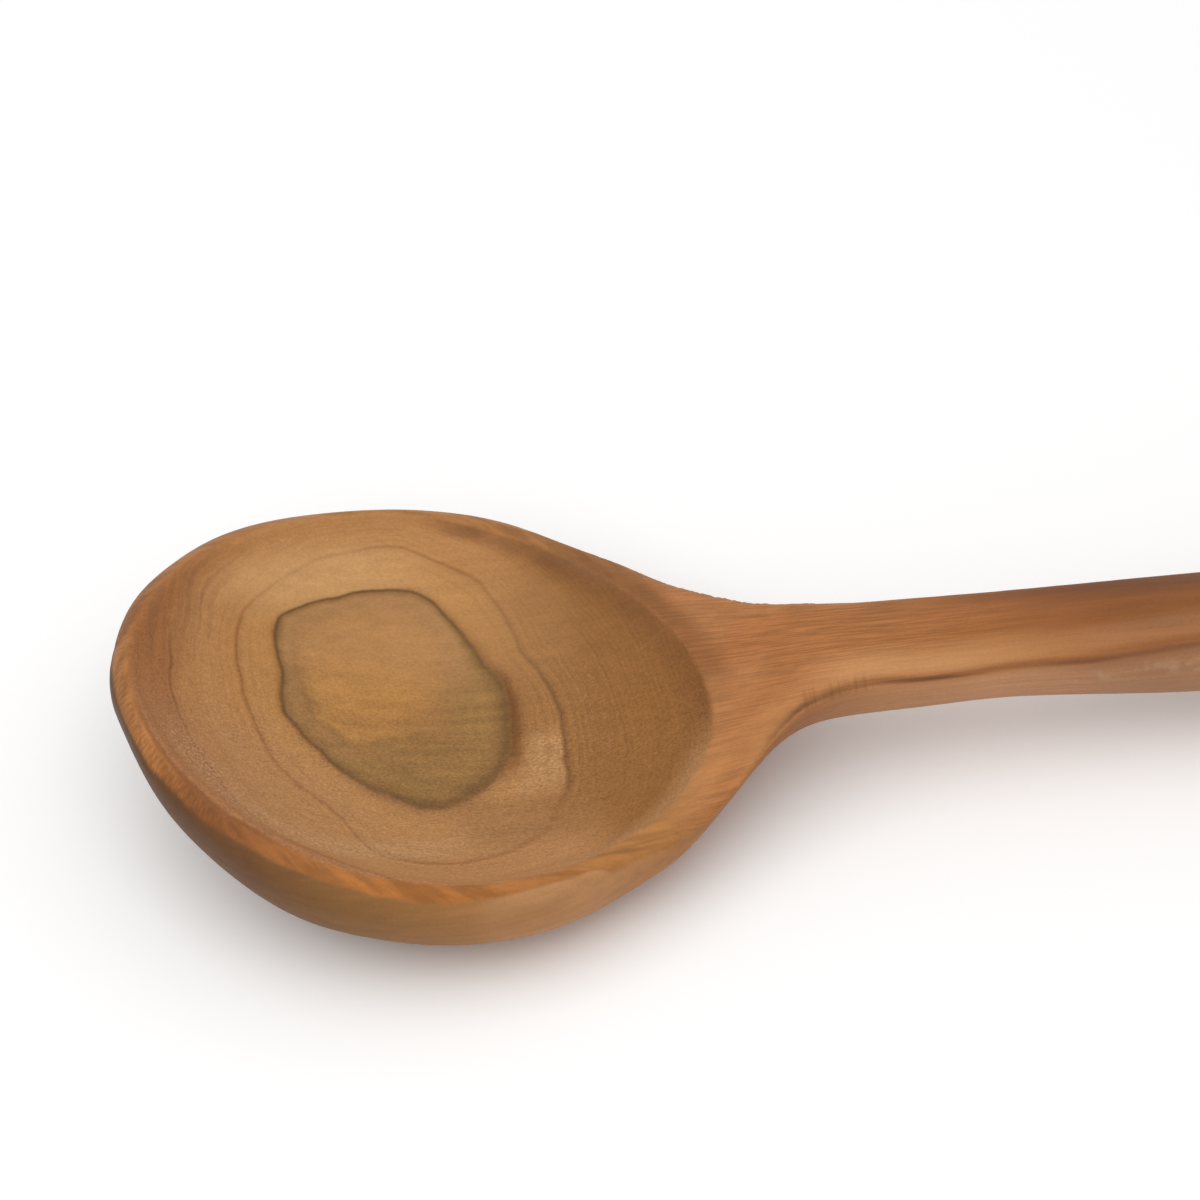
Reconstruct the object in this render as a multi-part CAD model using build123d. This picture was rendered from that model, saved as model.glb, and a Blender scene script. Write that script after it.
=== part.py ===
"""A wooden cooking spoon, carved from one billet: bowl, neck and handle are one piece of wood.

The origin lies in the small flat under the bowl on which the spoon stands, near its middle.
+X runs from the bowl along the handle, +Z is up, and the spoon is symmetrical about Y = 0.
All lengths are in millimetres.
"""
from build123d import *
import math
import os

# Bowl
bowl_length = 83.0
bowl_width = 72.8
rim_height = 17.3
tip_rise = 11.9
neck_drop = 5.8
rim_wall = 3.0
tip_wall = 2.5
neck_wall = 1.7
rim_bevel = 2.8
floor_thickness = 4.3
wall_depth = 3.4

# Neck, where the handle grows out of the bowl
neck_length = 15.4
root_width = 16.2
root_thickness = 10.1
root_top = 19.7
root_crown = 0.9

# Handle: a waist behind the root, the grip, and the wide end
overall_length = 280.0
waist_width = 15.2
waist_thickness = 10.6
waist_top = 20.0
waist_crown = 1.1
grip_width = 16.4
grip_thickness = 14.4
grip_top = 20.2
grip_crown = 1.5
end_width = 19.0
end_thickness = 10.4
end_crown = 2.2

# Wood taken off under the bowl and under the handle's end, where the spoon stands
foot_depth = 0.3

# The bowl reaches further towards its tip than towards the neck
tip_share = 0.531
tip_reach = bowl_length * tip_share
neck_reach = bowl_length - tip_reach
root_x = neck_reach + neck_length
end_x = overall_length - tip_reach
bowl_half = bowl_width / 2

# The bevel round the tip's side of the rim lies on a low dome
dome_share = 0.225
dome_rise = bowl_width * dome_share
overrun = bowl_width / 8

# Bowl stations, each with: place along the bowl; half width; drop of the outer edge below the
# crest; depth of the widest line below the edge; height of the underside up to the widest line;
# rise of the dome; fullness of the underside
bowl_shares = [
    (-0.985, 0.134, 1.10, 0.25, 0.840, 0.046, 0.55),
    (-0.945, 0.310, 1.10, 0.30, 0.760, 0.220, 0.55),
    (-0.880, 0.479, 1.10, 0.38, 0.600, 0.480, 0.60),
    (-0.780, 0.638, 1.05, 0.50, 0.420, 0.750, 0.62),
    (-0.650, 0.789, 1.00, 0.63, 0.250, 0.930, 0.64),
    (-0.490, 0.906, 0.98, 0.77, 0.110, 1.050, 0.65),
    (-0.310, 0.972, 0.82, 0.90, 0.030, 1.060, 0.67),
    (-0.110, 1.000, 0.57, 1.00, 0.000, 0.930, 0.71),
    (0.110, 0.983, 0.33, 1.03, 0.000, 0.600, 0.73),
    (0.330, 0.912, 0.12, 1.05, 0.010, 0.100, 0.73),
    (0.530, 0.793, 0.09, 1.05, 0.080, 0.040, 0.70),
    (0.690, 0.701, 0.20, 0.80, 0.260, 0.080, 0.60),
    (0.820, 0.589, 0.00, 0.42, 0.480, -0.030, 0.56),
]
# The dome goes on past the tip, where its rise turns negative
beyond_tip_share = (-1.1, -0.45)
# Neck stations, each with: place between bowl and root; then how much of the step from the bowl's
# last station to the root the width, the edge and the underside have made; depth of the widest
# line below the edge; crown of the top, as a share of the root's
neck_shares = [
    (-0.13, 0.330, 0.254, 0.50, 0.15, -2.0),
    (0.195, 0.670, 0.612, 0.84, 0.30, -1.2),
    (0.540, 0.895, 0.940, 0.97, 0.60, -0.4),
    (1.000, 1.000, 1.000, 1.00, 0.80, 1.0),
]
# Half width at the edge, as a share of the half width at the widest line
rim_edge_share = 0.964
waist_edge_share = 0.93
grip_edge_share = 0.82
end_edge_share = 0.85
handle_wall_share = 0.8
# Places of waist and grip between root and end, and stations between them
waist_share = 0.10
grip_share = 0.26
waist_shares = [0.5, 1.0]
grip_shares = [0.5, 1.0]
tail_shares = [(0.2, 0.14), (0.4, 0.36), (0.6, 0.59), (0.8, 0.81), (1.0, 1.0)]
# The rounded end starts short of the end by a share of its width, and its top droops
round_share = 0.7
round_shares = [0.4, 0.72, 0.93]
droop_share = 0.32

# Both noses end in a facet, as a share of the section beside it
nose_share = 0.1

# Fullness of a quarter arc: 0.55 is an ellipse and 1 is a square corner
ellipse_share = 0.5523
root_fullness_share = 0.58

# The hollow is a deep egg, widest in its middle, and only its lower part cuts into the bowl
hollow_centre_share = 1.43
middle_share = 0.5
hollow_tip_power_share = 2.0
hollow_neck_power_share = 1.68
hollow_shares = [0.18, 0.38, 0.57, 0.74, 0.88, 0.97]


def between(start, stop, share):
    return start + (stop - start) * share


def rim_line(x):
    """Height of the rim's crest, which rises to the tip and dips to the neck."""
    bend = (tip_rise / tip_reach - neck_drop / neck_reach) / bowl_length
    slope = -neck_drop / neck_reach - bend * neck_reach
    return rim_height + slope * x + bend * x * x


class Station:
    """The cross-section at one place along the spoon."""

    def __init__(self, x, half_width, edge_share, edge, crown, widest, bottom, fullness):
        self.x = x
        self.half_width = half_width
        self.edge_share = edge_share
        self.edge = edge
        self.crown = crown
        self.widest = widest
        self.bottom = bottom
        self.fullness = fullness

    def towards(self, other, share):
        """The cross-section part of the way from this one to another."""
        pairs = zip(vars(self).values(), vars(other).values())
        return Station(*(between(a, b, share) for a, b in pairs))

    def uncut_top(self):
        """Top of the oval whose side passes through the edge."""
        return self.widest + (self.edge - self.widest) / math.sqrt(1 - self.edge_share ** 2)


def bowl_stations():
    stations = []
    for along, width, drop, depth, belly, crown, fullness in bowl_shares:
        x = along * (tip_reach if along < 0 else neck_reach)
        edge = rim_line(x) - rim_bevel * drop
        widest = edge - wall_depth * depth
        bottom = between(-foot_depth, widest, belly)
        stations.append(Station(
            x, bowl_half * width, rim_edge_share, edge, dome_rise * crown, widest, bottom, fullness,
        ))
    return stations


def handle_station(x, width, edge_share, top, crown, thickness, fullness):
    edge = top - crown
    widest = edge - wall_depth * handle_wall_share
    return Station(x, width / 2, edge_share, edge, crown, widest, top - thickness, fullness)


def neck_stations(last):
    root = handle_station(root_x, root_width, rim_edge_share, root_top, root_crown, root_thickness,
                          root_fullness_share)
    stations = []
    for along, width, rise, belly, depth, crown in neck_shares:
        station = last.towards(root, width)
        station.x = neck_reach + neck_length * along
        station.edge = between(last.edge, root.edge, rise)
        station.crown = root_crown * crown
        station.widest = station.edge - wall_depth * depth
        station.bottom = between(last.bottom, root.bottom, belly)
        stations.append(station)
    return stations


def handle_stations(root):
    waist = handle_station(between(root_x, end_x, waist_share), waist_width, waist_edge_share,
                           waist_top, waist_crown, waist_thickness, ellipse_share)
    grip = handle_station(between(root_x, end_x, grip_share), grip_width, grip_edge_share,
                          grip_top, grip_crown, grip_thickness, ellipse_share)
    tail = handle_station(end_x - end_width * round_share, end_width, end_edge_share,
                          end_thickness, end_crown, end_thickness + foot_depth, ellipse_share)
    stations = [root.towards(waist, share) for share in waist_shares]
    stations += [waist.towards(grip, share) for share in grip_shares]
    for along, blend in tail_shares:
        station = grip.towards(tail, blend)
        station.x = between(grip.x, tail.x, along)
        stations.append(station)
    centre = end_thickness / 2
    for along in round_shares:
        left = math.sqrt(1 - along ** 2)
        stations.append(Station(
            between(tail.x, end_x, along),
            tail.half_width * left,
            end_edge_share,
            tail.edge - end_thickness * droop_share * along ** 2,
            tail.crown * left,
            between(centre, tail.widest, left),
            between(centre, tail.bottom, left),
            ellipse_share,
        ))
    return stations


def oval(x, half_width, top, widest, bottom, lower_share):
    """Closed outline across the spoon, of four quarter arcs that meet at the widest line."""
    quarters = []
    for side, edge, share in ((1, top, ellipse_share), (-1, top, ellipse_share),
                              (-1, bottom, lower_share), (1, bottom, lower_share)):
        reach = side * half_width
        quarters.append(Edge.make_bezier(
            (x, reach, widest),
            (x, reach, between(widest, edge, share)),
            (x, reach * share, edge),
            (x, 0, edge),
        ))
    return Wire(quarters)


def nose(x, station):
    """The facet in which the wood ends, a small oval like the section beside it."""
    middle = station.widest
    height = (middle - station.bottom) * nose_share
    return oval(x, station.half_width * nose_share, middle + height, middle, middle - height,
                ellipse_share)


def body(stations):
    outlines = [nose(-tip_reach, stations[0])]
    for s in stations:
        outlines.append(oval(s.x, s.half_width, s.uncut_top(), s.widest, s.bottom, s.fullness))
    outlines.append(nose(end_x, stations[-1]))
    return Solid.make_loft(outlines)


def waste_above(stations):
    """Everything above the bevel, the neck's top and the handle's top."""
    first = stations[0]
    last = stations[-1]
    along, rise = beyond_tip_share
    tip_x = along * tip_reach
    tip_middle = rim_line(tip_x) - rim_bevel + dome_rise * rise
    past_end = 1 + overrun / (end_width * round_share)
    end_middle = end_thickness - end_thickness * droop_share * past_end ** 2
    places = [(tip_x, first, tip_middle)]
    places += [(s.x, s, s.edge + s.crown) for s in stations]
    places.append((end_x + overrun, last, end_middle))
    ceiling = rim_height + tip_rise + dome_rise + overrun
    outlines = []
    for x, station, middle in places:
        edge_half = station.half_width * station.edge_share
        span = edge_half + overrun
        fall = station.crown * (span / edge_half) ** 2
        low = middle - fall
        outlines.append(Wire([
            Edge.make_bezier((x, -span, low), (x, 0, middle + fall), (x, span, low)),
            Edge.make_line((x, span, low), (x, span, ceiling)),
            Edge.make_line((x, span, ceiling), (x, -span, ceiling)),
            Edge.make_line((x, -span, ceiling), (x, -span, low)),
        ]))
    return Solid.make_loft(outlines)


def hollow():
    """The egg that is carved out of the bowl."""
    depth = rim_height - floor_thickness
    centre_rise = depth * hollow_centre_share
    deep = depth + centre_rise
    open_share = math.sqrt(1 - (centre_rise / deep) ** 2)
    half_width = (bowl_half - rim_wall) / open_share
    start_x = tip_wall - tip_reach
    stop_x = neck_reach - neck_wall
    middle_x = between(start_x, stop_x, middle_share)
    half_length = (stop_x - middle_x) / open_share
    places = [(-along, hollow_tip_power_share) for along in reversed(hollow_shares)]
    places.append((0, 1))
    places += [(along, hollow_neck_power_share) for along in hollow_shares]
    outlines = []
    for along, power in places:
        left = math.sqrt(1 - abs(along) ** power)
        x = middle_x + half_length * along
        centre = rim_line(x) + centre_rise
        outlines.append(oval(x, half_width * left, centre + deep * left, centre, centre - deep * left,
                             ellipse_share))
    start, stop = (
        Vertex(x, 0, rim_line(x) + centre_rise) for x in (middle_x - half_length, middle_x + half_length)
    )
    return Solid.make_loft([start, *outlines, stop])


def ground():
    """Everything below the surface on which the spoon stands."""
    middle_x = overall_length / 2 - tip_reach
    return Pos(middle_x, 0, -overrun / 2) * Box(overall_length + overrun, bowl_width + overrun, overrun)


bowl = bowl_stations()
neck = neck_stations(bowl[-1])
handle = handle_stations(neck[-1])
stations = bowl + neck + handle
spoon = body(stations) - waste_above(stations) - hollow() - ground()
print("spoon", spoon.is_valid, round(spoon.volume), spoon.bounding_box())

os.makedirs("parts", exist_ok=True)
export_step(spoon, "parts/spoon.step")
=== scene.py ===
import math

import bmesh
import bpy
import numpy as np
from mathutils import Matrix, Vector, noise
from mathutils.bvhtree import BVHTree


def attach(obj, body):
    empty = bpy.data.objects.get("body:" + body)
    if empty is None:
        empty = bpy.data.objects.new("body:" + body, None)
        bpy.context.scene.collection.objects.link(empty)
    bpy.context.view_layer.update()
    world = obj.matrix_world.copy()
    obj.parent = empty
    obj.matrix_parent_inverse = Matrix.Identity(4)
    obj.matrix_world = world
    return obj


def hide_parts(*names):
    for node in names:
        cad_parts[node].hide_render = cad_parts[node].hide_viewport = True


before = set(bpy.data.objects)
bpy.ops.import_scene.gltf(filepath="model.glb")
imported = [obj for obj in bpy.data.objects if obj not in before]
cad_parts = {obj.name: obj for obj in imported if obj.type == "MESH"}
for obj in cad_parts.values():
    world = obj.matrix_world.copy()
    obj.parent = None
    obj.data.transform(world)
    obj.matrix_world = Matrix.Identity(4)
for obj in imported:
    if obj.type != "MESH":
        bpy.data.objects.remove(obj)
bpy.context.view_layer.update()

# A wooden cooking spoon that lies on a white table under a large soft lamp.
# Lengths are in metres, in the frame of the solid part: +X runs along the handle and +Z is up.
MM = 0.001

# The view, from the photograph: its picture is 1200 pixels square
PICTURE = 1200
PIXELS_PER_MM = 7.6
VIEW_AZIMUTH = math.radians(-7.8)
VIEW_ELEVATION = math.radians(47)
VIEW_DISTANCE = 800 * MM
RIM_HEIGHT = 17.3 * MM
RIM_PIXEL = (447, 693)
SENSOR = 36
CAMERA_NEAR = 50 * MM

# Studio
SOFTBOX_PLACE = (-0.32, -0.20, 0.88)
SOFTBOX_SIZE = 1.2
SOFTBOX_POWER = 5.2
SKY_LEVEL = 0.60
FLOOR_SIZE = 6.0
FLOOR_GAP = 0.02 * MM
FLOOR_GREY = 0.88
FLOOR_WHITE = 1.11

# The carved shape
MERGE_GAP = 0.01 * MM
FINE_VOXEL = 0.30 * MM
VOXEL = 0.56 * MM
WEAR_PASSES = 9
EVEN_PASSES = 3
LAST_PASSES = 3
SANDING = 0.5
WAVE_LENGTH = 13 * MM
WAVE_HEIGHT = 0.12 * MM
SECTION_SMOOTHING = 5

# The hollow's outline at the rim, an oval that is fuller at the tip than at the neck
HOLLOW_MIDDLE = -3.1 * MM
HOLLOW_HALF_LENGTH = 38.4 * MM
HOLLOW_HALF_WIDTH = 33.5 * MM
TIP_POWER = 2.0
NECK_POWER = 1.68

# Growth rings in the hollow: the eye's centre, then each ring as angles in degrees and radii in mm
EYE_CENTRE = (-7.5 * MM, 8.4 * MM)
CORE_SHARE = 0.5
CORE_GAP = 0.9 * MM
CORE_RING = [
    (-161, 10.7), (-144, 9.9), (-126, 9.4), (-103, 6.3), (-70, 5.6), (-39, 6.2), (-2, 7.6), (26, 9.8),
    (47, 13.4), (68, 15.1), (78, 14.9), (108, 13.6), (129, 14.2), (139, 14.6), (147, 13.3), (164, 11.8),
    (179, 11.0),
]
EYE_RING = [
    (-176, 13.9), (-163, 14.5), (-153, 13.9), (-135, 13.7), (-122, 14.6), (-107, 15.4), (-94, 16.4),
    (-82, 18.3), (-72, 18.7), (-58, 18.4), (-44, 18.2), (-32, 17.8), (-14, 16.5), (13, 16.5),
    (23, 15.5), (39, 15.6), (52, 16.2), (62, 17.2), (72, 17.2), (85, 16.3), (108, 15.2),
    (128, 15.7), (142, 16.5), (150, 15.9), (159, 14.7), (170, 13.5),
]
SECOND_RING = [
    (-178, 18.9), (-165, 19.0), (-151, 19.7), (-138, 21.1), (-127, 21.8), (-116, 22.6), (-109, 24.5),
    (-104, 27.9), (-97, 32.0), (-87, 32.3), (-67, 32.2), (-52, 30.7), (-45, 28.9), (-34, 27.7),
    (-26, 25.5), (-15, 24.3), (4, 22.3), (20, 20.4), (32, 21.2), (48, 22.4), (65, 21.8), (77, 21.9),
    (96, 20.3), (120, 19.3), (138, 19.3), (151, 20.0), (171, 19.5),
]
THIRD_RING = [
    (-177, 28.3), (-163, 29.9), (-146, 31.3), (-138, 32.4), (-128, 35.2), (-113, 37.7), (-104, 39.3),
    (-90, 42.0), (-60, 43.0), (-20, 37.0),
    (0, 34.0), (30, 31.0), (60, 27.5), (90, 25.5), (120, 25.5), (150, 27.0), (170, 28.0),
]
OUTER_STEP = 10 * MM

# Where the hollow nears the neck, east of the eye's centre
BY_NECK = (20 * MM, 32 * MM)

# The dark streak along the handle's near side: how far round the section it lies, by the place in mm
STREAK = [
    (30, -0.30), (36, -0.27), (41, -0.25), (46, -0.24), (52, -0.259), (60, -0.278), (68, -0.286),
    (76, -0.276), (85, -0.278), (93, -0.260), (99, -0.244), (120, -0.22), (160, -0.26), (240, -0.20),
]
HANDLE_RADIUS = 9 * MM

# The wood's layers lean over as they cross the neck, and fan out from one of them towards the bowl
LAYER_LEAN = 0.95
FAN_CENTRE = 23.4 * MM

# The wood's surface
ROUGHNESS = 0.5
GLOSS = 0.2
BUMP_STRENGTH = 0.4
BUMP_HEIGHT = 0.05 * MM

# Small nicks in the rim: place, width and depth
NICKS = [
    (Vector((-42.3, 6.4, 27.1)) * MM, 1.1 * MM, 0.55 * MM),
    (Vector((-40.2, -14.8, 25.2)) * MM, 1.5 * MM, 0.35 * MM),
]


class Term:
    """A number in a material, on which sums are written as in Python."""

    def __init__(self, finish, socket):
        self.finish = finish
        self.socket = socket

    def sum_node(self, operation, *values):
        return self.finish.node("ShaderNodeMath", {"operation": operation}, dict(enumerate(values)))

    def __add__(self, other):
        return self.sum_node("ADD", self, other)

    __radd__ = __add__

    def __sub__(self, other):
        return self.sum_node("SUBTRACT", self, other)

    def __rsub__(self, other):
        return self.sum_node("SUBTRACT", other, self)

    def __mul__(self, other):
        return self.sum_node("MULTIPLY", self, other)

    __rmul__ = __mul__

    def __truediv__(self, other):
        return self.sum_node("DIVIDE", self, other)

    def __abs__(self):
        return self.sum_node("ABSOLUTE", self)


class Finish:
    """One material and the nodes that make it."""

    def __init__(self, name, tree_of=None):
        self.material = tree_of or bpy.data.materials.new(name)
        self.material.use_nodes = True
        self.tree = self.material.node_tree
        self.tree.nodes.clear()

    def node(self, kind, settings=None, sockets=None, out=0):
        """Adds a node: its settings first, then the values or links of its sockets."""
        made = self.tree.nodes.new(kind)
        for name, value in (settings or {}).items():
            if name == "stops":
                self.set_stops(made.color_ramp.elements, value)
            else:
                setattr(made, name, value)
        for name, value in (sockets or {}).items():
            if isinstance(value, Term):
                self.tree.links.new(value.socket, made.inputs[name])
            else:
                made.inputs[name].default_value = value
        return Term(self, made.outputs[out]) if made.outputs else None

    def set_stops(self, elements, stops):
        while len(elements) < len(stops):
            elements.new(1)
        for element, (place, colour) in zip(elements, stops):
            element.position = place
            element.color = colour

    def ramp(self, term, stops):
        """A colour for each place along a term that runs from 0 to 1."""
        return self.node("ShaderNodeValToRGB", {"stops": stops}, {"Fac": term})

    def mix(self, share, first, second, blend="MIX"):
        """One colour over another."""
        settings = {"data_type": "RGBA", "blend_type": blend}
        return self.node("ShaderNodeMix", settings, {0: share, 6: first, 7: second}, 2)

    def step(self, term, start, stop):
        """0 below the start, 1 above the stop and a soft slope between them."""
        settings = {"interpolation_type": "SMOOTHSTEP"}
        sockets = {"Value": term, "From Min": start, "From Max": stop}
        return self.node("ShaderNodeMapRange", settings, sockets)

    def band(self, term, start, full, fade, end):
        """1 between two places, with a soft slope down on either side."""
        return self.step(term, start, full) * (1 - self.step(term, fade, end))

    def shaded(self, colour, level):
        """A colour made lighter or darker, where a level of 1 leaves it as it is."""
        grey = self.node("ShaderNodeCombineColor", sockets={0: level, 1: level, 2: level})
        return self.mix(1.0, colour, grey, "MULTIPLY")

    def line_noise(self, term, detail=3):
        """Noise from 0 to 1 along one number."""
        return self.node("ShaderNodeTexNoise", {"noise_dimensions": "1D"},
                         {"W": term, "Scale": 1, "Detail": detail, "Roughness": 0.7})

    def vector(self, x, y, z=0):
        return self.node("ShaderNodeCombineXYZ", sockets={0: x, 1: y, 2: z})

    def attribute(self, name):
        return self.node("ShaderNodeAttribute", {"attribute_name": name}, out="Fac")

    def place(self, scale, turn=(0, 0, 0)):
        """The place on the piece, stretched and turned as a pattern needs it."""
        here = self.node("ShaderNodeTexCoord", out="Object")
        return self.node("ShaderNodeMapping", {"vector_type": "POINT"},
                         {"Vector": here, "Scale": scale, "Rotation": turn})

    def clouds(self, scale, detail=3, turn=(0, 0, 0)):
        """Noise from 0 to 1 whose spots are one over the scale long, in metres, along X, Y and Z."""
        return self.node("ShaderNodeTexNoise", {"noise_dimensions": "3D"},
                         {"Vector": self.place(scale, turn), "Scale": 1, "Detail": detail,
                          "Roughness": 0.5})


def shade(red, green, blue):
    """A colour given as it looks on a screen, from 0 to 255, made linear by the sRGB curve."""
    linear = []
    for value in (red, green, blue):
        level = value / 255
        linear.append(level / 12.92 if level <= 0.04045 else ((level + 0.055) / 1.055) ** 2.4)
    return (*linear, 1)


def link(name, mesh):
    piece = bpy.data.objects.new(name, mesh)
    bpy.context.collection.objects.link(piece)
    return piece


def aim_camera():
    """The camera stands where the photograph was taken from."""
    azimuth, elevation = VIEW_AZIMUTH, VIEW_ELEVATION
    back = Vector((math.sin(azimuth) * math.cos(elevation),
                   -math.cos(azimuth) * math.cos(elevation),
                   math.sin(elevation)))
    right = Vector((math.cos(azimuth), math.sin(azimuth), 0))
    up = back.cross(right)
    middle = PICTURE / 2
    per_pixel = MM / PIXELS_PER_MM
    rim_shift = (RIM_PIXEL[0] - middle) * right + (middle - RIM_PIXEL[1]) * up
    place = back * VIEW_DISTANCE - rim_shift * per_pixel + Vector((0, 0, RIM_HEIGHT))
    data = bpy.data.cameras.new("camera")
    data.sensor_width = SENSOR
    data.lens = SENSOR * PIXELS_PER_MM * VIEW_DISTANCE / MM / PICTURE
    data.clip_start = CAMERA_NEAR
    camera = link("camera", data)
    turn = Matrix((right, up, back)).transposed()
    camera.matrix_world = Matrix.Translation(place) @ turn.to_4x4()
    bpy.context.scene.camera = camera


def light_studio():
    """One large soft lamp above the tip's near side, and a pale sky all round."""
    data = bpy.data.lights.new("softbox", "AREA")
    data.shape = "SQUARE"
    data.size = SOFTBOX_SIZE
    data.energy = SOFTBOX_POWER
    place = Vector(SOFTBOX_PLACE)
    turn = place.to_track_quat("Z", "Y").to_matrix().to_4x4()
    link("softbox", data).matrix_world = Matrix.Translation(place) @ turn

    world = bpy.data.worlds.new("studio")
    bpy.context.scene.world = world
    sky = Finish("studio", world)
    path = sky.node("ShaderNodeLightPath", out="Is Camera Ray")
    glossy = sky.node("ShaderNodeLightPath", out="Is Glossy Ray")
    seen = sky.node("ShaderNodeMath", {"operation": "MAXIMUM"}, {0: path, 1: glossy})
    level = SKY_LEVEL + seen * (1 - SKY_LEVEL)
    glow = sky.node("ShaderNodeBackground", sockets={"Color": (1, 1, 1, 1), "Strength": level})
    sky.node("ShaderNodeOutputWorld", sockets={"Surface": glow})


def lay_floor():
    bm = bmesh.new()
    bmesh.ops.create_grid(bm, x_segments=1, y_segments=1, size=FLOOR_SIZE / 2)
    bmesh.ops.translate(bm, verts=bm.verts, vec=(0, 0, -FLOOR_GAP))
    mesh = bpy.data.meshes.new("table")
    bm.to_mesh(mesh)
    bm.free()
    floor = link("table", mesh)
    paper = Finish("white_table")
    seen = paper.node("ShaderNodeLightPath", out="Is Camera Ray")
    plain = paper.node("ShaderNodeBsdfDiffuse", sockets={"Color": (FLOOR_GREY,) * 3 + (1,)})
    white = paper.node("ShaderNodeBsdfDiffuse", sockets={"Color": (FLOOR_WHITE,) * 3 + (1,)})
    both = paper.node("ShaderNodeMixShader", sockets={0: seen, 1: plain, 2: white})
    paper.node("ShaderNodeOutputMaterial", sockets={"Surface": both})
    mesh.materials.append(paper.material)


def evenly_meshed(mesh, voxel):
    """The same shape in even squares."""
    blank = link("blank", mesh)
    remesh = blank.modifiers.new("remesh", "REMESH")
    remesh.mode = "VOXEL"
    remesh.voxel_size = voxel
    made = blank.evaluated_get(bpy.context.evaluated_depsgraph_get())
    even = bpy.data.meshes.new_from_object(made)
    bpy.data.objects.remove(blank)
    bm = bmesh.new()
    bm.from_mesh(even)
    return even, bm


def project(bm, shape):
    """Puts every point on the surface of the shape."""
    for v in bm.verts:
        v.co = shape.find_nearest(v.co)[0]


def sand(bm, passes):
    """Rubs edges and bumps down."""
    for _ in range(passes):
        bmesh.ops.smooth_vert(bm, verts=bm.verts, factor=SANDING, use_axis_x=True, use_axis_y=True,
                              use_axis_z=True)


def carve_spoon():
    """The solid's shape, evenly meshed, with the worn edges and slight waves of hand work."""
    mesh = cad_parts["spoon"].data.copy()
    bm = bmesh.new()
    bm.from_mesh(mesh)
    bmesh.ops.remove_doubles(bm, verts=bm.verts, dist=MERGE_GAP)
    bm.to_mesh(mesh)
    solid = BVHTree.FromBMesh(bm)
    bm.free()

    mesh, bm = evenly_meshed(mesh, FINE_VOXEL)
    project(bm, solid)
    sand(bm, WEAR_PASSES)
    bm.to_mesh(mesh)
    worn = BVHTree.FromBMesh(bm)
    bm.free()

    mesh, bm = evenly_meshed(mesh, VOXEL)
    project(bm, worn)
    sand(bm, EVEN_PASSES)
    project(bm, worn)
    sand(bm, LAST_PASSES)
    bm.normal_update()
    for v in bm.verts:
        rise = noise.noise(v.co / WAVE_LENGTH) * WAVE_HEIGHT
        for place, width, depth in NICKS:
            rise -= depth * math.exp(-((v.co - place).length / width) ** 2)
        v.co += v.normal * rise
        v.co.z = max(v.co.z, 0)
    bm.to_mesh(mesh)
    bm.free()
    mesh.shade_smooth()
    mesh.name = "carved_spoon"
    return link("carved_spoon", mesh)


def ring_radius(ring, angle):
    """A ring's radius in metres at angles in degrees."""
    angles, radii = zip(*ring)
    return np.interp(angle, angles, radii, period=360) * MM


def mark_wood(piece):
    """Marks each point with where it lies in the wood, for the material to read."""
    mesh = piece.data
    flat = np.empty(len(mesh.vertices) * 3)
    mesh.vertices.foreach_get("co", flat)
    x, y, z = flat.reshape(-1, 3).T
    upward = np.array([vertex.normal.z for vertex in mesh.vertices])

    east, north = x - EYE_CENTRE[0], y - EYE_CENTRE[1]
    radius = np.hypot(east, north)
    angle = np.degrees(np.arctan2(north, east))
    first, second, third = (ring_radius(r, angle) for r in (EYE_RING, SECOND_RING, THIRD_RING))
    core = np.minimum(ring_radius(CORE_RING, angle), first - CORE_GAP)
    ring = np.select(
        [radius < core, radius < first, radius < second, radius < third],
        [CORE_SHARE * radius / core,
         CORE_SHARE + (1 - CORE_SHARE) * (radius - core) / (first - core),
         1 + (radius - first) / (second - first),
         2 + (radius - second) / (third - second)],
        3 + (radius - third) / OUTER_STEP)

    along = (x - HOLLOW_MIDDLE) / HOLLOW_HALF_LENGTH
    power = np.where(along < 0, TIP_POWER, NECK_POWER)
    crest = np.sqrt((y / HOLLOW_HALF_WIDTH) ** 2 + np.abs(along) ** power)

    around = np.arctan2(y, HOLLOW_MIDDLE - x) / math.pi

    stations = np.arange(x.min(), x.max() + MM, MM)
    bins = np.clip(np.searchsorted(stations, x), 1, len(stations)) - 1
    low, high, side = (np.zeros(len(stations)) for _ in range(3))
    for i in range(len(stations)):
        here = bins == i
        if here.any():
            low[i], high[i], side[i] = z[here].min(), z[here].max(), np.abs(y[here]).max()
    even = np.ones(SECTION_SMOOTHING) / SECTION_SMOOTHING

    def section(sizes):
        padded = np.pad(sizes, SECTION_SMOOTHING // 2, "edge")
        return np.interp(x, stations + MM / 2, np.convolve(padded, even, "valid"))

    middle, half, width = section((low + high) / 2), section((high - low) / 2), section(side)
    turn = np.arctan2(y / width, (z - middle) / half) / math.pi
    places, turns = zip(*STREAK)
    streak = (turn - np.interp(x / MM, places, turns)) * math.pi * HANDLE_RADIUS / MM
    values = {"ring": ring, "crest": crest, "around": around, "turn": turn, "spread": y / width,
              "streak": streak, "upward": upward}
    for name, value in values.items():
        mesh.attributes.new(name, "FLOAT", "POINT").data.foreach_set("value", value)


def grain(w, vector, detail=4, roughness=0.62, low=0.3, high=0.7):
    """Streaks from 0 to 1 along whatever the vector stretches them."""
    waves = w.node("ShaderNodeTexNoise", {"noise_dimensions": "3D"},
                   {"Vector": vector, "Scale": 1, "Detail": detail, "Roughness": roughness})
    return w.step(waves, low, high)


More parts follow.
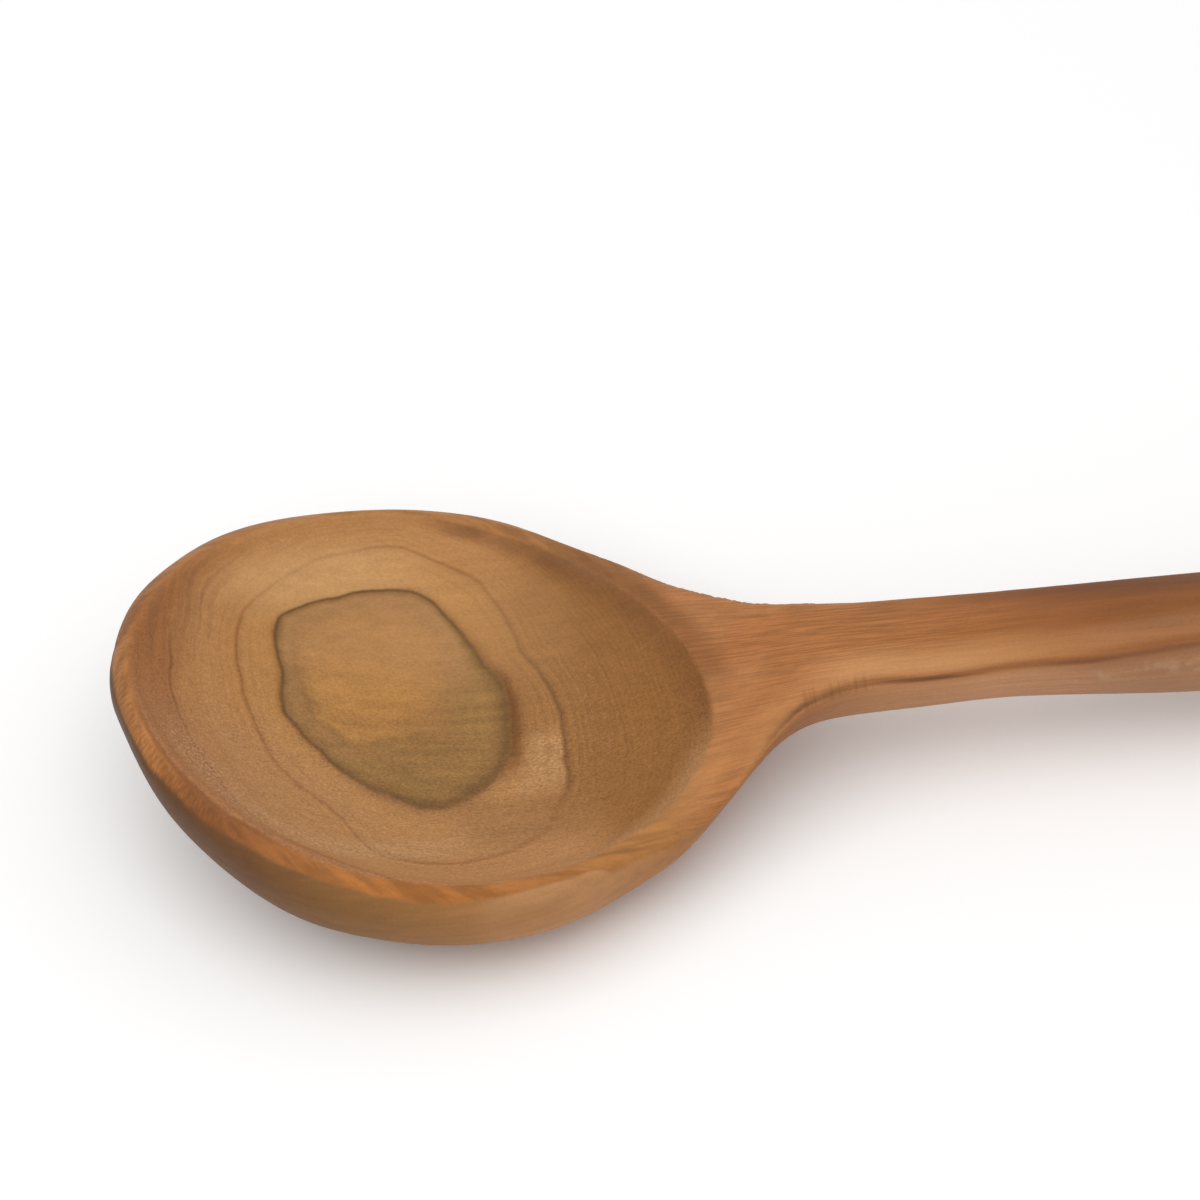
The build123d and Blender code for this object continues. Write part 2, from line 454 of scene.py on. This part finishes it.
def eye_and_rings(w, marks):
    """The eye of the wood in the hollow, with its growth rings round it."""
    east, north, near = marks["eye_east"], marks["eye_north"], marks["eye_north"] * -1
    ring = marks["ring"]
    # The ring's number, its line a little uneven: 1 at the eye's edge, 2 and 3 at the lines outside it
    number = (ring + (w.clouds((110, 110, 110)) - 0.5) * 0.10
              + (w.clouds((450, 450, 450)) - 0.5)
              * (0.05 + (1 - w.step(ring, 0.45, 0.85)) * w.step(near, -8 * MM, 4 * MM) * 0.24))
    share = number / 5
    tip_side = w.ramp(share, [
        (0.000, shade(184, 132, 72)),
        (0.080, shade(183, 132, 74)),
        (0.092, shade(170, 123, 70)),
        (0.100, shade(154, 113, 66)),
        (0.116, shade(162, 119, 71)),
        (0.150, shade(160, 119, 71)),
        (0.182, shade(148, 109, 64)),
        (0.194, shade(116, 82, 45)),
        (0.203, shade(124, 86, 47)),
        (0.215, shade(166, 116, 62)),
        (0.240, shade(186, 134, 76)),
        (0.300, shade(188, 136, 79)),
        (0.390, shade(184, 132, 78)),
        (0.398, shade(158, 106, 56)),
        (0.403, shade(160, 108, 58)),
        (0.412, shade(185, 131, 76)),
        (0.500, shade(188, 135, 82)),
        (0.570, shade(180, 125, 72)),
        (0.610, shade(166, 109, 60)),
        (0.700, shade(162, 103, 55)),
        (0.800, shade(154, 96, 50)),
        (1.000, shade(154, 96, 50)),
    ])
    neck_side = w.ramp(share, [
        (0.000, shade(180, 128, 68)),
        (0.045, shade(174, 125, 68)),
        (0.096, shade(160, 117, 66)),
        (0.135, shade(152, 113, 64)),
        (0.168, shade(155, 116, 65)),
        (0.186, shade(142, 104, 57)),
        (0.195, shade(120, 87, 48)),
        (0.204, shade(126, 89, 47)),
        (0.222, shade(154, 106, 57)),
        (0.300, shade(162, 113, 62)),
        (0.388, shade(162, 113, 62)),
        (0.397, shade(126, 85, 44)),
        (0.403, shade(130, 87, 45)),
        (0.414, shade(154, 107, 56)),
        (0.500, shade(150, 101, 49)),
        (0.620, shade(146, 97, 44)),
        (0.740, shade(142, 93, 42)),
        (1.000, shade(139, 90, 41)),
    ])
    # Inside the eye and outside it, the colours turn from the tip's to the neck's
    ringed = w.step(number, 0.98, 1.06)
    in_eye = w.step(east * 0.8 + near * 0.6, -4 * MM, 7 * MM) * (1 - ringed)
    neckward = w.step(east - abs(north) * 0.6, 1 * MM, 16 * MM)
    figure = w.mix(in_eye + neckward * ringed, tip_side, neck_side)

    # Streaks in the eye, which is paler at its far side, and fine layers outside it
    streaks = grain(w, w.place((26, 460, 460), (0, 0, -0.1)), 3)
    cloudy = grain(w, w.place((160, 260, 260)), 3)
    eye_wood = w.shaded(figure, 0.88 + streaks * 0.16 + cloudy * 0.09)
    pale_eye = w.step(north, 0, 8 * MM) * (1 - w.step(number, 0.72, 0.94))
    eye_wood = w.mix(pale_eye * 0.5, eye_wood, shade(192, 142, 92))
    outer_wood = w.shaded(figure, 1.05 - w.step(w.line_noise(number * 8), 0.40, 0.66) * 0.08
                          - w.step(w.line_noise(number * 23), 0.40, 0.62) * neckward * 0.10)
    marks.update(number=number, ringed=ringed, neckward=neckward)
    return w.mix(ringed, eye_wood, outer_wood)


def hollow_walls(w, marks, figure):
    """Lighter and darker places on the hollow's walls."""
    east, north, near = marks["eye_east"], marks["eye_north"], marks["eye_north"] * -1
    crest, number, ringed, neckward = (marks[name] for name in ("crest", "number", "ringed", "neckward"))
    # A lighter far wall, partly paler wood and partly painted sheen, the third line on the near side, and
    # smoky layers at the tip's far side
    paler_far_wall_and_sheen = (w.step(north, 7 * MM, 15 * MM) * w.band(east, -32 * MM, -18 * MM, -2 * MM, 14 * MM)
                * (1 - w.step(crest, 0.84, 0.96)) * ringed)
    figure = w.mix(paler_far_wall_and_sheen * 0.50, figure, shade(226, 178, 122))
    third_line = (w.band(number, 2.955, 2.985, 2.995, 3.03) * (1 - neckward)
                  * (1 - w.step(north, -4 * MM, 6 * MM)))
    figure = w.mix(third_line * 0.5, figure, shade(112, 64, 32))
    old_wall = (w.step(crest, 0.72, 0.90) * w.step(north, -8 * MM, 4 * MM)
                * (1 - w.step(east, -26 * MM, -14 * MM)))
    smoky = w.step(w.line_noise(number * 3 + w.clouds((60, 60, 60)) * 2), 0.38, 0.62)
    figure = w.mix(old_wall * smoky * 0.40, figure, shade(122, 80, 52))

    # A brown smudge beside the eye
    smudge = (w.band(number, 1.0, 1.08, 1.10, 1.34) * w.step(east, 9 * MM, 14 * MM)
              * w.band(north, -14 * MM, -7 * MM, 2 * MM, 12 * MM))
    figure = w.mix(smudge * 0.75, figure, shade(108, 66, 28))
    # The far wall towards the neck: lighter, with a dark arc and then a pinker one under the rim
    blotches = grain(w, w.place((90, 130, 130)), 3)
    far_right = w.step(north, 8 * MM, 13 * MM) * w.step(east, 10 * MM, 18 * MM)
    lighter_wall = (w.step(north, 1 * MM, 8 * MM) * w.band(east, 10 * MM, 16 * MM, 22 * MM, 30 * MM)
                    * (1 - w.step(crest, 0.88, 0.95)) * ringed)
    figure = w.mix(lighter_wall * 0.32, figure, shade(188, 138, 84))
    arc = (w.band(crest, 0.93, 0.965, 0.985, 1.0) * w.band(east, 7 * MM, 13 * MM, 23 * MM, 31 * MM)
           * w.step(north, 8 * MM, 13 * MM))
    figure = w.mix(arc * (blotches * 0.5 + 0.25), figure, shade(118, 76, 42))
    pink = w.step(crest, 0.95, 0.99) * far_right * w.step(east, 22 * MM, 29 * MM)
    figure = w.mix(pink * blotches * 0.6, figure, shade(150, 108, 78))

    # Painted shade under the rim at the neck, a painted sheen under the near rim, and a darker patch of the
    # floor
    by_neck = w.step(east, BY_NECK[0], BY_NECK[1])
    neck_rim_shade = w.step(crest, 0.88, 0.97) * by_neck * (1 - w.step(near, 9 * MM, 20 * MM))
    figure = w.mix(neck_rim_shade * (0.35 + blotches * 0.35), figure, shade(118, 73, 34))
    near_rim_sheen = (w.step(crest, 0.89, 0.98) * w.step(east, 2 * MM, 22 * MM)
            * w.step(near + east * 0.4, 26 * MM, 38 * MM))
    figure = w.mix(near_rim_sheen * 0.6, figure, shade(184, 138, 92))
    shaded_floor = (w.band(near, 15 * MM, 19 * MM, 24 * MM, 31 * MM)
                    * w.band(east, 3 * MM, 11 * MM, 20 * MM, 28 * MM))
    return w.mix(shaded_floor * 0.65, figure, shade(146, 100, 50))


def pale_flecks_and_sheen(w, marks, figure):
    """Pale flecked places in the hollow, with a painted sheen on the near wall, and fine scratches by the
    neck.
    """
    east, north, near = marks["eye_east"], marks["eye_north"], marks["eye_north"] * -1
    crest, number = marks["crest"], marks["number"]
    by_neck = w.step(east, BY_NECK[0], BY_NECK[1])
    flecks = w.step(w.clouds((2100, 3000, 3000), 1), 0.46, 0.62)
    reach = crest + w.step(east, -20 * MM, 12 * MM) * 0.34
    # Pale flecks on the near wall: painted sheen, the lamp's glancing reflection
    near_wall_sheen = (w.band(reach, 0.74, 0.85, 0.89, 0.98) * w.step(near, 9 * MM, 20 * MM)
                 * (1 - w.step(east, -2 * MM, 14 * MM)))
    by_second = (w.band(number, 1.15, 1.5, 1.90, 1.98) * w.band(near, 3 * MM, 8 * MM, 13 * MM, 18 * MM)
                 * w.step(east, 8 * MM, 16 * MM))
    rows = (w.step(w.line_noise(number * 17), 0.50, 0.64) * w.band(east, 18 * MM, 22 * MM, 28 * MM, 36 * MM)
            * w.band(north, -14 * MM, -8 * MM, 2 * MM, 8 * MM))
    figure = w.mix(by_second * 0.35, figure, shade(200, 152, 100))
    sheen_and_pale_patches = near_wall_sheen + by_second * 0.4 + rows * 0.22
    figure = w.mix(sheen_and_pale_patches * (flecks * 0.50 + 0.06), figure, shade(222, 180, 134))
    for lean in (0.9, -0.35):
        across = east * math.sin(lean) + north * math.cos(lean)
        hair = w.step(w.line_noise(across * 1700 + lean * 10, 1), 0.68, 0.74)
        patch = w.step(w.clouds((150, 150, 150), 1, turn=(0, 0, lean)), 0.54, 0.62)
        figure = w.mix(hair * patch * w.step(crest, 0.78, 0.88) * by_neck * 0.05, figure,
                       shade(206, 170, 134))
    return figure


def hollow_figure(w, marks):
    """The hollow's wood, which is a little greyer on the near side."""
    figure = pale_flecks_and_sheen(w, marks, hollow_walls(w, marks, eye_and_rings(w, marks)))
    near = marks["eye_north"] * -1
    greyer_near_side = w.step(near, 2 * MM, 14 * MM) * marks["ringed"] * (1 - marks["neckward"] * 0.85)
    return w.mix(greyer_near_side * 0.25, figure, shade(174, 131, 96))


def rim_figure(w, marks):
    """The bevelled rim: burnt-orange flames, and end grain in short dashes at the tip."""
    around, crest = marks["around"], marks["crest"]
    colour = w.ramp(around * 0.5 + 0.5, [
        (0.00, shade(170, 114, 64)),
        (0.07, shade(188, 130, 76)),
        (0.12, shade(170, 115, 62)),
        (0.19, shade(168, 110, 57)),
        (0.26, shade(168, 105, 49)),
        (0.32, shade(172, 108, 52)),
        (0.37, shade(142, 86, 39)),
        (0.42, shade(152, 92, 42)),
        (0.46, shade(176, 116, 62)),
        (0.50, shade(168, 112, 62)),
        (0.55, shade(150, 97, 53)),
        (0.66, shade(172, 116, 64)),
        (0.80, shade(166, 113, 64)),
        (0.92, shade(150, 100, 56)),
        (1.00, shade(166, 112, 64)),
    ])
    flames = grain(w, w.vector(around * 24 + crest * 16, crest * 8, around * 3), 3, 0.6, 0.38, 0.62)
    colour = w.shaded(colour, 0.82 + flames * 0.34)
    dashes = grain(w, w.vector(around * 330 + crest * 20, crest * 26), 2, 0.5, 0.38, 0.62)
    end_grain = (1 - w.step(abs(around), 0.16, 0.30)) * w.step(crest, 1.0, 1.02)
    return w.shaded(colour, 1 - (1 - dashes) * end_grain * 0.26)


def neck_figure(w, marks):
    """The neck and the handle's top: fibres that fan out from the hollow and run on along the handle."""
    east, spread, turn, crest = (marks[name] for name in ("east", "spread", "turn", "crest"))
    colour = w.ramp(w.step(east, 30 * MM, 110 * MM), [
        (0.00, shade(168, 108, 60)),
        (0.30, shade(164, 105, 57)),
        (0.60, shade(160, 99, 51)),
        (0.90, shade(150, 92, 46)),
        (1.00, shade(155, 97, 51)),
    ])
    # Fibres, which stand out most by the bowl
    fan = (marks["layer"] - FAN_CENTRE) / (1.35 - w.step(east, 28 * MM, 56 * MM) * 0.35)
    broad = grain(w, w.vector(east * 40, fan * 620), 3)
    fine = grain(w, w.vector(east * 130, fan * 3600), 2, 0.6, 0.40, 0.60)
    by_bowl = 1 - w.step(east, 54 * MM, 84 * MM)
    level = 0.91 + broad * 0.14 + fine * (0.08 + by_bowl * 0.24) - by_bowl * 0.12
    colour = w.shaded(colour, level)
    # Paler at the near side by the bowl, and in the middle of the neck
    near_side = (w.step(spread * -1, 0.1, 0.7) * (1 - w.step(east, 40 * MM, 56 * MM))
                 * (1 - w.step(crest, 1.04, 1.12) * (1 - w.step(east, 33 * MM, 40 * MM))))
    colour = w.mix(near_side * 0.5, colour, shade(200, 140, 84))
    middle = w.band(spread, -0.40, -0.15, 0.15, 0.40) * w.band(east, 31 * MM, 35 * MM, 40 * MM, 45 * MM)
    colour = w.mix(middle * 0.30, colour, shade(196, 140, 90))
    # Painted shade where the handle's top rounds off to its far side, and a painted sheen along that far
    # edge at the neck
    far_rounding_shade = w.step(turn + w.step(east, 70 * MM, 100 * MM) * 0.04, 0.10, 0.24)
    colour = w.mix(far_rounding_shade * w.step(east, 54 * MM, 92 * MM) * 0.88, colour, shade(104, 60, 32))
    far_top_shade = (w.step(turn + w.step(east, 74 * MM, 100 * MM) * 0.12, -0.07, 0.02)
            * w.step(east, 74 * MM, 94 * MM))
    colour = w.mix(far_top_shade * 0.45, colour, shade(118, 71, 33))
    sheen = w.step(turn, 0.18, 0.28) * (1 - w.step(east, 50 * MM, 64 * MM))
    colour = w.mix(sheen * 0.25, colour, shade(194, 148, 108))
    mottle = grain(w, w.place((55, 130, 130)), 3)
    return w.mix(mottle * w.step(east, 60 * MM, 80 * MM) * 0.22, colour, shade(122, 70, 34))


def side_figure(w, marks):
    """The handle's sides: paler and pinker, below a dark streak, with pale flecks of painted reflection
    further along.
    """
    east, streak = marks["east"], marks["streak"]
    colour = w.ramp(w.step(east, 40 * MM, 120 * MM), [
        (0.00, shade(158, 104, 65)),
        (0.10, shade(182, 129, 88)),
        (0.35, shade(190, 137, 98)),
        (0.75, shade(170, 122, 86)),
        (1.00, shade(176, 126, 88)),
    ])
    fibre = grain(w, w.vector(east * 30, streak * 1.4), 4)
    colour = w.shaded(colour, 0.93 + fibre * 0.13)
    # Pale flecks below the streak along the handle: painted reflection
    flecks = grain(w, w.vector(east * 330, streak * 0.35), 2, 0.5, 0.48, 0.62)
    reflection_fleck_place = w.step(east, 74 * MM, 88 * MM) * w.band(streak, -5, -3.4, -2.2, -0.8)
    return w.mix(flecks * reflection_fleck_place * 0.28, colour, shade(206, 166, 134))


def outer_figure(w, marks):
    """The bowl's outer wall: dark at the tip and paler towards the neck, in faint layers, partly the wood's
    own tone and partly painted shade.
    """
    east, crest, near = marks["east"], marks["crest"], marks["eye_north"] * -1
    # Darkest at the tip: partly the wood's tone, partly painted shade for its shadowed side
    colour = w.ramp(w.step(east, -46 * MM, 40 * MM), [
        (0.00, shade(92, 61, 34)),
        (0.10, shade(108, 71, 38)),
        (0.23, shade(130, 90, 48)),
        (0.45, shade(156, 109, 62)),
        (0.62, shade(172, 121, 73)),
        (0.80, shade(186, 133, 86)),
        (1.00, shade(168, 113, 68)),
    ])
    layers = grain(w, w.place((16, 40, 420)), 4)
    fibre = grain(w, w.place((40, 160, 900)), 3)
    colour = w.shaded(colour, 0.90 + layers * 0.15 + fibre * 0.05)
    bared = w.band(crest, 1.04, 1.06, 1.08, 1.10) * w.band(east, -2 * MM, 4 * MM, 8 * MM, 18 * MM)
    return w.mix(bared * w.step(near, 10 * MM, 20 * MM) * 0.30, colour, shade(204, 154, 108))


def wood():
    """The whole spoon's wood, from the figures of its parts."""
    w = Finish("carved_wood")
    marks = {name: w.attribute(name)
             for name in ("ring", "crest", "around", "turn", "spread", "streak", "upward")}
    here = w.node("ShaderNodeTexCoord", out="Object")
    east, north, height = (w.node("ShaderNodeSeparateXYZ", sockets={0: here}, out=axis)
                           for axis in "XYZ")
    marks["east"] = east
    marks["eye_east"] = east - EYE_CENTRE[0]
    marks["eye_north"] = north - EYE_CENTRE[1]
    marks["layer"] = north + height * LAYER_LEAN
    crest, streak, upward = (marks[name] for name in ("crest", "streak", "upward"))
    hollow = hollow_figure(w, marks)

    # The rim and the neck's top on the crown, and the outer wall and the handle's sides below it
    handle = w.step(east, 34 * MM, 46 * MM)
    top = w.mix(w.step(east, 22 * MM, 36 * MM), rim_figure(w, marks), neck_figure(w, marks))
    sides = w.mix(handle, outer_figure(w, marks), side_figure(w, marks))
    wobble = (w.clouds((160, 160, 160)) - 0.5) * 0.03
    limit = crest + wobble * 0.5 - w.step(east, 14 * MM, 34 * MM) * 0.3
    bowl_crown = w.step(upward, 0.25, 0.5) * (1 - w.step(limit, 1.042, 1.058))
    handle_crown = w.step(streak, -1.6, 0.7) * w.step(upward, -0.1, 0.25)
    crown = bowl_crown * (1 - handle) + handle_crown * handle
    outside = w.mix(crown, sides, top)

    # A darker edge between hollow and neck, a painted highlight band above the streak, and brown beside it
    edge_shade = (w.band(crest, 0.99, 1.005, 1.03, 1.09) * w.step(east, 17 * MM, 26 * MM)
                  * w.step(marks["eye_north"], -12 * MM, -2 * MM))
    outside = w.mix(edge_shade * 0.45, outside, shade(112, 70, 36))
    lit = w.band(streak, 0.3, 1.4, 2.2, 7.2) * w.band(east, 44 * MM, 54 * MM, 66 * MM, 92 * MM)
    outside = w.mix(lit * 0.65, outside, shade(210, 153, 100))
    paler = w.band(streak, 0.8, 2.2, 4.0, 6.5) * w.step(east, 76 * MM, 90 * MM)
    outside = w.mix(paler * 0.3, outside, shade(186, 136, 98))
    browned = (w.band(streak, -0.4, 0.2, 0.5, 1.4) * w.step(east, 68 * MM, 88 * MM) * 0.6
               + w.band(streak, -2.8, -1.2, -0.4, 0.2) * w.step(east, 76 * MM, 88 * MM) * 0.7)
    outside = w.mix(browned * 0.5, outside, shade(132, 88, 58))
    # The dark streak, with small cuts across it at the neck
    streak_dark = w.band(streak, -0.6, -0.05, 0.05, 0.7)
    patchy = grain(w, w.place((50, 50, 50)), 2, 0.5, 0.35, 0.6)
    along = w.step(east, 37 * MM, 46 * MM)
    outside = w.mix(streak_dark * along * (patchy * 0.55 + 0.2), outside, shade(82, 48, 32))
    ticks = w.step(w.line_noise(east * 1150, 1), 0.42, 0.62)
    cut = w.band(streak, -1.4, -0.6, 0.8, 2.2) * w.band(east, 45 * MM, 47 * MM, 54 * MM, 57 * MM)
    outside = w.shaded(outside, 1.02 - ticks * cut * 0.17)

    # The hollow, and a dark line along its near edge at the tip
    inside = (1 - w.step(crest + wobble, 0.982, 1.008)) * w.step(upward, 0.0, 0.2)
    colour = w.mix(inside, outside, hollow)
    behind = marks["around"] * -1
    edge = (w.band(crest + wobble * 0.5, 0.982, 0.992, 0.998, 1.008)
            * w.band(behind, 0.02, 0.08, 0.24, 0.34))
    colour = w.mix(edge * 0.4, colour, shade(108, 64, 38))

    # Fibres and pores all over, with the deepest pores on the near side of the hollow
    fibres = w.clouds((60, 900, 900), 3)
    pores = w.clouds((2300, 3400, 3400), 1)
    pore_depth = 0.22 + inside * (0.14 + w.step(marks["eye_north"] * -1, -14 * MM, 14 * MM) * 0.6)
    colour = w.shaded(colour, 1 + (fibres - 0.5) * 0.3 + (pores - 0.5) * pore_depth)
    relief = pores * (pore_depth * 2 + 0.4) + fibres
    bump = w.node("ShaderNodeBump",
                  sockets={"Strength": BUMP_STRENGTH, "Distance": BUMP_HEIGHT, "Height": relief})
    surface = w.node("ShaderNodeBsdfPrincipled",
                     sockets={"Base Color": colour, "Roughness": ROUGHNESS,
                              "Specular IOR Level": GLOSS, "Normal": bump})
    w.node("ShaderNodeOutputMaterial", sockets={"Surface": surface})
    return w.material


aim_camera()
light_studio()
lay_floor()
spoon = carve_spoon()
mark_wood(spoon)
spoon.data.materials.clear()
spoon.data.materials.append(wood())
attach(spoon, "root")
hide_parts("spoon")

bpy.context.scene.view_settings.view_transform = "Standard"
